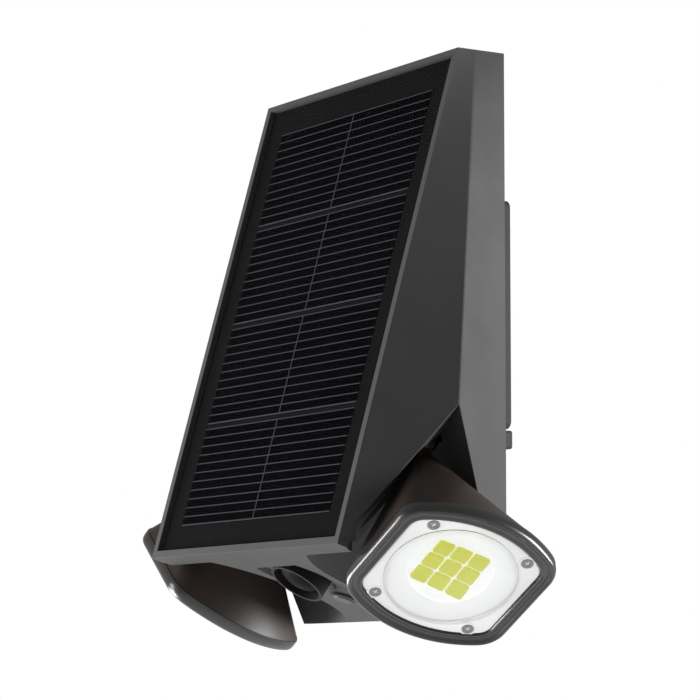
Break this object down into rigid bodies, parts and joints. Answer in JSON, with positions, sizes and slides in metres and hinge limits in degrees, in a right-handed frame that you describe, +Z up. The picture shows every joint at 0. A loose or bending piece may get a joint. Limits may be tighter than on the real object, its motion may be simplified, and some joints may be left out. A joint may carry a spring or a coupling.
{
  "type": "solar flood light",
  "caption": "Wall-mounted solar flood light: a tapered casing with a sloping solar panel, a motion sensor and button underneath, and aimable square flood heads at its lower corners.",
  "frame": {"origin": "centre of the wall plate's back face, which lies on the wall", "axes": "+X to the right seen from the front, +Y into the wall, +Z up; the solar panel faces -Y and up"},
  "size_m": [0.2254, 0.0801, 0.2235],
  "materials": {
    "casing_plastic": "fine matt texture",
    "plate_plastic": "fine matt texture",
    "screw_steel": "plain",
    "panel_glass": "clear, dark border",
    "solar_cell": "dark blue-black with fine lines",
    "backsheet": "smooth",
    "seal_rubber": "matt",
    "battery_can": "shrink wrap",
    "inner_plastic": "smooth",
    "contact_metal": "bright",
    "circuit_board": "solder mask",
    "component_plastic": "smooth",
    "sensor_lens": "glossy dark dome",
    "button_plastic": "smooth",
    "swivel_metal": "cast",
    "head_plastic": "dark bronze satin",
    "rim_plastic": "satin",
    "heatsink_metal": "plain",
    "led_board": "white solder mask",
    "led_phosphor": "smooth",
    "reflector_white": "bright white",
    "lens_clear": "clear polycarbonate"
  },
  "bodies": {
    "casing": {"wall_plate": "plate_plastic", "lock_screw": "screw_steel", "front_shell": "casing_plastic", "rear_shell": "casing_plastic", "bottom_cover": "casing_plastic", "shell_screws": "screw_steel", "base_screw": "screw_steel", "panel_glass": "panel_glass", "solar_cells": "solar_cell", "panel_backsheet": "backsheet", "panel_seal": "seal_rubber", "battery_cells": "battery_can", "battery_holder": "inner_plastic", "battery_contacts": "contact_metal", "control_board": "circuit_board", "board_screws": "screw_steel", "board_components": "component_plastic", "sensor_tube": "casing_plastic", "sensor_lens": "sensor_lens", "sensor_chip": "contact_metal", "sensor_board": "circuit_board", "button_switch": "component_plastic", "switch_board": "circuit_board", "right_swivel_socket": "inner_plastic", "left_swivel_socket": "inner_plastic"},
    "button": {"mode_button": "button_plastic"},
    "right_knuckle": {"right_swivel_knuckle": "swivel_metal", "right_tilt_pin": "screw_steel", "right_swivel_washer": "screw_steel", "right_swivel_nut": "screw_steel"},
    "right_head": {"right_housing": "head_plastic", "right_rim": "rim_plastic", "right_heatsink": "heatsink_metal", "right_led_board": "led_board", "right_led_chips": "led_phosphor", "right_reflector": "reflector_white", "right_lens_seal": "seal_rubber", "right_lens": "lens_clear", "right_lens_screws": "screw_steel"},
    "left_knuckle": {"left_swivel_knuckle": "swivel_metal", "left_tilt_pin": "screw_steel", "left_swivel_washer": "screw_steel", "left_swivel_nut": "screw_steel"},
    "left_head": {"left_housing": "head_plastic", "left_rim": "rim_plastic", "left_heatsink": "heatsink_metal", "left_led_board": "led_board", "left_led_chips": "led_phosphor", "left_reflector": "reflector_white", "left_lens_seal": "seal_rubber", "left_lens": "lens_clear", "left_lens_screws": "screw_steel"}
  },
  "joints": [
    {"name": "right_pan", "type": "hinge", "parent": "casing", "child": "right_knuckle", "pos_m": [0.0568, -0.0375, -0.0479], "axis": [0, 0.3289, 0.9444], "range_deg": [-6, 1]},
    {"name": "right_tilt", "type": "hinge", "parent": "right_knuckle", "child": "right_head", "pos_m": [0.0568, -0.0375, -0.0479], "axis": [0.1149, 0.9381, -0.3267], "range_deg": [-6, 14]},
    {"name": "left_pan", "type": "hinge", "parent": "casing", "child": "left_knuckle", "pos_m": [-0.0568, -0.0375, -0.0479], "axis": [0, -0.3289, -0.9444], "range_deg": [-6, 1]},
    {"name": "left_tilt", "type": "hinge", "parent": "left_knuckle", "child": "left_head", "pos_m": [-0.0568, -0.0375, -0.0479], "axis": [0.1149, -0.9381, 0.3267], "range_deg": [-6, 14]},
    {"name": "mode_button_press", "type": "slide", "parent": "casing", "child": "button", "axis": [0, 0.3289, 0.9444], "range_m": [0, 0.0008], "stiffness_N_per_m": 400, "springref_m": -0.002}
  ]
}
